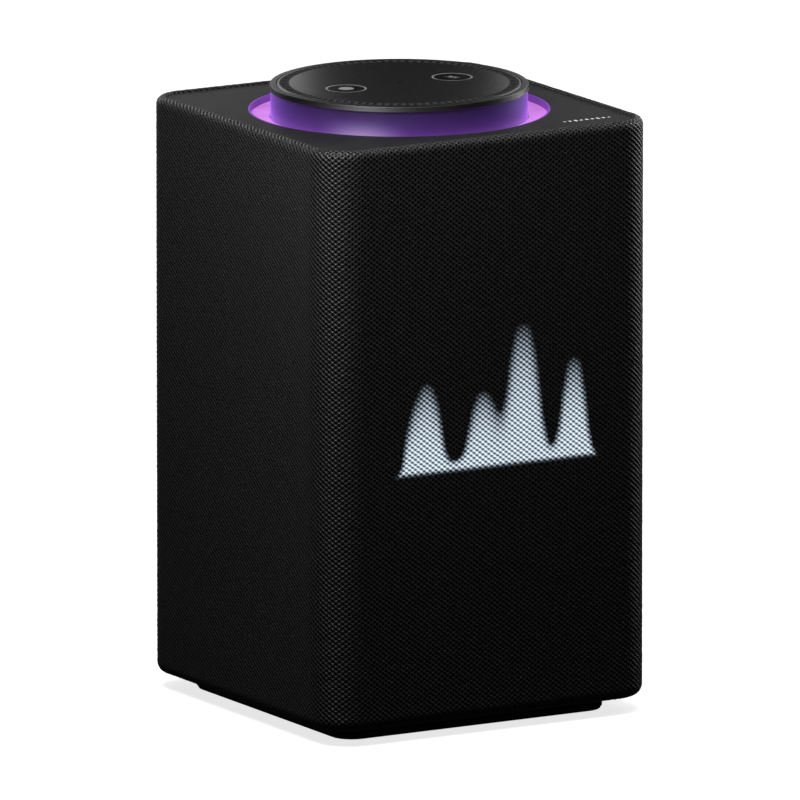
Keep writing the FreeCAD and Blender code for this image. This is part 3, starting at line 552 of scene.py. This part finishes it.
def ring_material():
    """Dark anodised metal, turned on a lathe, with its bore painted black and not metallic as painted shade
    in the gap round the disc.
    """
    made = Shader("ring_metal")
    _, _, z = made.axes()
    radius = made.radius()
    turned = made.node("ShaderNodeCombineXYZ", radius, 0.0, z)
    fine = made.noise(0.08 * MM, detail=2.0, vector=turned.outputs[0])
    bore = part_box("top_disc")[1].x + 0.3 * MM
    bright = made.ramp(radius, bore + 0.1 * MM, bore + 0.3 * MM)
    turned_face = made.mix(made.ramp(fine, 0.3, 0.7), (0.050, 0.050, 0.053), (0.080, 0.080, 0.083))
    # The bore is painted black: painted shade in the gap between the ring and the disc.
    made.set(
        Base_Color=made.mix(bright, (0.0, 0.0, 0.0), turned_face),
        Metallic=bright,
        Roughness=made.ramp(fine, 0.2, 0.8, 0.36, 0.46, smooth=False),
    )
    made.bump(fine, 0.004 * MM)
    return made


def skirt_material():
    """Satin violet wall with a painted glow from its foot up, standing for the lit well's light on it, and a
    painted highlight that makes it brightest on its front left.
    """
    made = Shader("skirt_satin")
    x, y, z = made.axes()
    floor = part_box("light_diffuser")[1].z
    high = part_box("volume_skirt")[1]
    drop = made.ramp(z, high.z, floor, smooth=False)
    # The foot and the glow below are painted light: the well's glow falling on the wall, strongest at its
    # foot.
    foot = made.math("POWER", drop, 5.0)
    # A painted highlight, whitish, on the wall's front left.
    highlight_side = direction(PAINTED_HIGHLIGHT_AZIMUTH, 0)
    facing = made.math("MULTIPLY_ADD", x, highlight_side.x, made.math("MULTIPLY", y, highlight_side.y))
    painted_highlight = made.math("POWER", made.ramp(facing, 0.91 * high.x, high.x, smooth=False), 2.0)
    painted_highlight = made.math("MULTIPLY", painted_highlight, made.ramp(drop, 0.1, 1.0))
    ripple = made.noise(6 * MM, detail=2.0)
    # This glow stands in for the well's light mirrored at a flat angle, so it depends on the view.
    grazing = made.math("POWER", made.node("ShaderNodeLayerWeight").outputs["Facing"], 3.0)
    colour = made.mix(made.math("MAXIMUM", foot, grazing), (0.28, 0.12, 0.85), (0.46, 0.14, 1.0))
    glow = made.math("MULTIPLY_ADD", foot, 0.07, made.ramp(drop, 0.0, 1.0, 0.035, 0.055, smooth=False))
    glow = made.math("MULTIPLY_ADD", grazing, 0.75, glow)
    made.set(
        # The colour is also painted lighter towards the foot, as painted light from the well.
        Base_Color=made.mix(drop, (0.015, 0.006, 0.035), (0.04, 0.015, 0.09)),
        Roughness=made.ramp(ripple, 0.2, 0.8, 0.34, 0.44, smooth=False),
        Specular_IOR_Level=0.6,
        Emission_Color=made.mix(painted_highlight, colour, (0.85, 0.66, 1.0)),
        Emission_Strength=made.math("MULTIPLY_ADD", painted_highlight, 0.24, glow),
    )
    return made


def well_material(name, colour, strength):
    """Milky plastic lit from behind, with the soft spots of the lamps under it."""
    made = Shader(name)
    cloud = made.ramp(made.noise(18 * MM, detail=2.0), 0.3, 0.7, 0.72, 1.28, smooth=False)
    grain = made.noise(0.3 * MM, detail=3.0)
    body = [0.15 * c for c in colour]
    made.set(
        Base_Color=made.mix(grain, body, [1.2 * c for c in body]),
        Roughness=made.ramp(grain, 0.2, 0.8, 0.4, 0.55, smooth=False),
        Emission_Color=rgba(colour),
        Emission_Strength=made.math("MULTIPLY", cloud, strength),
    )
    made.bump(grain, 0.01 * MM)
    return made


# ---------------------------------------------------------------- every other node, by its slot
def slot_materials():
    return {
        "frame_plastic": finish_of("frame_plastic", (0.012, 0.012, 0.012), 0.55),
        "plate_plastic": plate_material(),
        "disc_plastic": disc_material(),
        "ring_metal": ring_material(),
        "skirt_gloss": skirt_material(),
        "light_guide": well_material("well_light", (0.80, 0.26, 1.0), 0.60),
        "icon_white": finish_of("icon_print", (0.13, 0.13, 0.13), 0.45, grain=0.2, depth=0.004),
        "bearing_plastic": finish_of("bearing_plastic", (0.75, 0.73, 0.68), 0.45),
        "cabinet_plastic": finish_of("cabinet_plastic", (0.03, 0.03, 0.033), 0.6, grain=0.5, depth=0.03),
        "rubber_black": finish_of("rubber_black", (0.010, 0.010, 0.010), 0.8, grain=0.5, depth=0.02),
        "foam_black": finish_of("foam_black", (0.003, 0.003, 0.003), 0.9, grain=0.6, depth=0.15, shine=0.02),
        "basket_steel": finish_of("basket_paint", (0.02, 0.02, 0.02), 0.4, grain=0.3, depth=0.01),
        "motor_steel": finish_of("zinc_steel", (0.52, 0.52, 0.54), 0.35, 1.0, along=(1, 1, 0.1)),
        "paper_cone": finish_of("paper_cone", (0.03, 0.03, 0.03), 0.85, grain=0.6, depth=0.06),
        "coil_copper": finish_of("coil_copper", (0.72, 0.32, 0.16), 0.3, 1.0, along=(0.05, 1, 0.05)),
        "board_green": finish_of("board_green", (0.01, 0.09, 0.035), 0.35, grain=0.8, depth=0.02),
        "chip_black": finish_of("chip_black", (0.015, 0.015, 0.015), 0.5),
        "led_white": finish_of("led_white", (0.85, 0.84, 0.72), 0.25),
        "diffuser_white": finish_of("diffuser_white", (0.75, 0.75, 0.75), 0.5),
        "sink_aluminium": finish_of("sink_aluminium", (0.6, 0.6, 0.62), 0.38, 1.0, along=(1, 1, 0.05)),
        "socket_shell": finish_of("socket_shell", (0.6, 0.6, 0.62), 0.3, 1.0, along=(0.1, 1, 1)),
        "socket_black": finish_of("socket_black", (0.012, 0.012, 0.012), 0.45),
        "screw_steel": finish_of("screw_steel", (0.12, 0.12, 0.125), 0.35, 1.0),
        "cable_film": finish_of("cable_film", (0.55, 0.28, 0.05), 0.3, along=(0.1, 1, 0.1)),
    }


def dress_nodes():
    by_slot = slot_materials()
    # The well's wall glows with painted light: the diffuser's glow falling on it, though it is no lamp.
    wall = well_material("well_wall_painted_glow", (0.40, 0.075, 0.92), 0.24)
    slots = {part["node"]: part["material_slot"] for part in frame["record"]["subparts"]}
    for name, node in NODES.items():
        slot = slots[name]
        if name == "well_wall":
            chosen = wall
        elif slot == "knit":
            continue
        else:
            chosen = by_slot[slot]
        node.data.materials.clear()
        node.data.materials.append(chosen.material)


def sound_bars():
    """Small printed row of bars on the plate's front right corner."""
    mesh = bmesh.new()
    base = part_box("top_plate")[1].z
    for k, length in enumerate(BAR_LENGTHS):
        x = BARS_AT[0] + (k - (len(BAR_LENGTHS) - 1) / 2) * BAR_PITCH
        made = bmesh.ops.create_cube(mesh, size=1.0)
        bmesh.ops.scale(mesh, vec=(BAR_WIDTH, length * MM, 0.04 * MM), verts=made["verts"])
        bmesh.ops.translate(mesh, vec=(x, BARS_AT[1], base + 0.02 * MM), verts=made["verts"])
    return finished_mesh(mesh, "plate_print", smooth=False)


# ---------------------------------------------------------------- stage
def floor():
    mesh = bmesh.new()
    bmesh.ops.create_grid(mesh, x_segments=1, y_segments=1, size=FLOOR_SIZE)
    made = finished_mesh(mesh, "studio_floor")
    paint = finish_of("studio_paint", (0.5, 0.5, 0.5), 0.9, grain=2.0, depth=0.0, tint=0.005)
    paint.set(Emission_Color=FLOOR_GLOW, Emission_Strength=1.0, Specular_IOR_Level=0.0)
    made.data.materials.append(paint.material)
    made.visible_diffuse = False
    made.visible_glossy = False


def aim(thing, place, at):
    thing.location = place
    thing.rotation_mode = "QUATERNION"
    thing.rotation_quaternion = (Vector(at) - Vector(place)).to_track_quat("-Z", "Y")


def direction(azimuth, elevation):
    """Unit vector towards a compass azimuth, from the front towards the right, and an elevation."""
    a, e = math.radians(azimuth), math.radians(elevation)
    return Vector((math.sin(a) * math.cos(e), -math.cos(a) * math.cos(e), math.sin(e)))


def camera_right():
    """Unit vector to the right in the photograph's view."""
    angle = math.radians(CAMERA_AZIMUTH)
    return Vector((math.cos(angle), math.sin(angle), 0))


def lamp(name, kind, watts):
    made = bpy.data.objects.new(name, bpy.data.lights.new(name, kind))
    made.data.energy = watts
    made.visible_camera = False
    bpy.context.scene.collection.objects.link(made)
    return made


def softbox(name, azimuth, elevation, distance, width, height, radiance, at=(0, 0, 0.2)):
    made = lamp(name, "AREA", radiance * math.pi * width * height)
    made.data.shape = "RECTANGLE"
    made.data.size = width
    made.data.size_y = height
    aim(made, Vector(at) + direction(azimuth, elevation) * distance, at)
    return made


def lights():
    world = bpy.data.worlds.new("studio")
    world.use_nodes = True
    # Pale where it is seen behind the floor, and nearly black as a light.
    nodes, links = world.node_tree.nodes, world.node_tree.links
    seen = nodes.new("ShaderNodeLightPath").outputs["Is Camera Ray"]
    strength = nodes.new("ShaderNodeMath")
    strength.operation = "ADD"
    strength.inputs[1].default_value = WORLD_LIGHT
    links.new(seen, strength.inputs[0])
    links.new(strength.outputs[0], nodes["Background"].inputs["Strength"])
    nodes["Background"].inputs["Color"].default_value = (1, 1, 1, 1)
    bpy.context.scene.world = world

    overhead = lamp("overhead", "SUN", OVERHEAD_LIGHT * math.pi)
    overhead.data.angle = math.radians(40)
    overhead.visible_glossy = False
    aim(overhead, (0, 0, 2), (0, 0, 0))

    for name, values in SOFTBOXES.items():
        softbox(name, *values)
    disc = Vector((0, 0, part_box("top_disc")[1].z))
    for name, (azimuth, width, radiance) in RIM_CARDS.items():
        card = softbox(name, azimuth, 16, 0.5, width, 0.10, radiance, disc)
        card.visible_diffuse = False
    for name, (offset, radiance) in DISC_CARDS.items():
        card = softbox(name, CAMERA_AZIMUTH + 180, CAMERA_ELEVATION, 0.35, 0.14, 0.12, radiance, disc)
        card.location += camera_right() * offset


def camera():
    back = direction(CAMERA_AZIMUTH, CAMERA_ELEVATION)
    right = camera_right()
    target = Vector((0, 0, BODY_MIDDLE)) + right * AIM_RIGHT * MM - back.cross(right) * AIM_DOWN * MM
    data = bpy.data.cameras.new("camera")
    data.lens = CAMERA_LENS
    data.sensor_width = CAMERA_SENSOR
    data.clip_end = CAMERA_REACH
    made = bpy.data.objects.new("camera", data)
    bpy.context.scene.collection.objects.link(made)
    aim(made, target + back * CAMERA_DISTANCE, target)
    bpy.context.scene.camera = made


# ---------------------------------------------------------------- build
camera()
lights()
floor()
dress_nodes()

cover = sleeve()
cover.data.materials.append(knit_material().material)
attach(cover, "housing")
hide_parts("fabric_sleeve")

bars = sound_bars()
plate_print = finish_of("plate_print", (0.55, 0.55, 0.55), 0.45, grain=0.2, depth=0.002)
bars.data.materials.append(plate_print.material)
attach(bars, "housing")

bpy.context.scene.view_settings.view_transform = "Standard"
